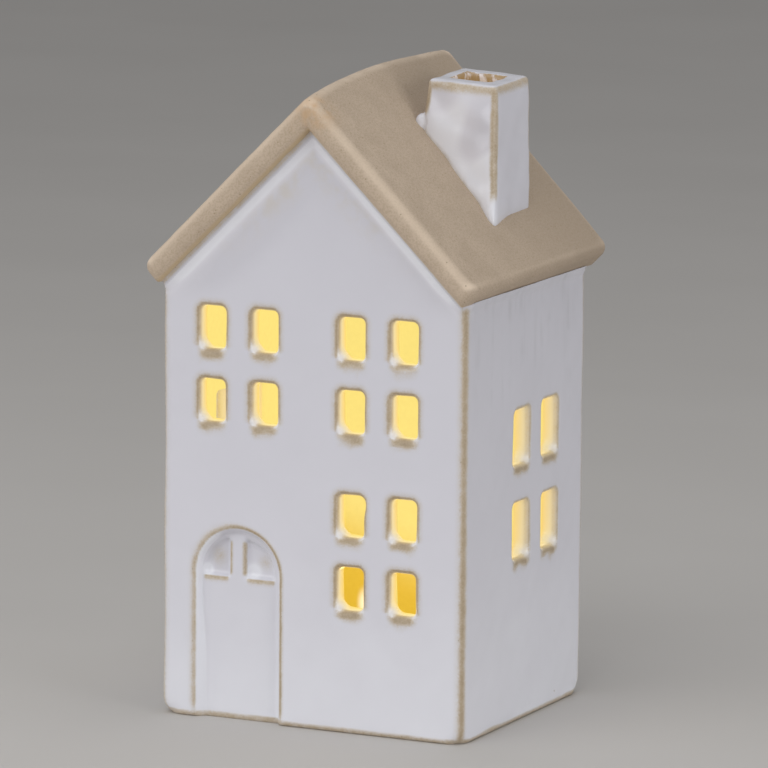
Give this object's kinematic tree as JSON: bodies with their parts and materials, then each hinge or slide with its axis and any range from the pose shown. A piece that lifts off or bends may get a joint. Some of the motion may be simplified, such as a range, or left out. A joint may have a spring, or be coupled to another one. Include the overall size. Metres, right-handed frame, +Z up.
{
  "type": "ceramic light house",
  "caption": "Small glazed stoneware house with open windows, a bare slab roof and a chimney flue, lit from inside by a push-in battery lamp.",
  "frame": {"origin": "on the table, under the middle of the house", "axes": "+Z up, -Y towards the front door, +X towards the chimney side"},
  "size_m": [0.0986, 0.0876, 0.1759],
  "materials": {
    "glazed_stoneware": "glossy white glaze that breaks to tan on edges",
    "bare_stoneware": "matt unglazed clay with fine specks",
    "soft_ring": "matt silicone",
    "white_plastic": "fine moulded texture",
    "milky_plastic": "milky, lets light through",
    "cell_steel": "bright",
    "contact_metal": "nickel plated",
    "board_laminate": "green solder mask",
    "screw_steel": "zinc plated",
    "led_lens": "clear warm lens",
    "resistor_body": "black film",
    "switch_case": "folded sheet",
    "dark_plastic": "moulded"
  },
  "bodies": {
    "house": {"house_body": "glazed_stoneware", "roof": "bare_stoneware", "chimney": "glazed_stoneware"},
    "lamp": {"grip_ring": "soft_ring", "lamp_housing": "white_plastic", "diffuser_dome": "milky_plastic", "cell_lower": "cell_steel", "cell_upper": "cell_steel", "contact_leaf": "contact_metal", "contact_side": "contact_metal", "circuit_board": "board_laminate", "board_screw_front": "screw_steel", "board_screw_back": "screw_steel", "led": "led_lens", "led_lead_left": "contact_metal", "led_lead_right": "contact_metal", "resistor": "resistor_body", "switch_body": "switch_case"},
    "cover": {"battery_cover": "white_plastic"},
    "switch": {"switch_lever": "dark_plastic", "switch_knob": "dark_plastic"}
  },
  "joints": [
    {"name": "lamp_pull", "type": "slide", "parent": "house", "child": "lamp", "axis": [0, 0, -1], "range_m": [0, 0.04]},
    {"name": "cover_turn", "type": "hinge", "parent": "lamp", "child": "cover", "pos_m": [-0.004, 0, 0.0017], "axis": [0, 0, 1], "range_deg": [0, 60]},
    {"name": "switch_slide", "type": "slide", "parent": "lamp", "child": "switch", "axis": [0, 1, 0], "range_m": [0, 0.003]}
  ]
}
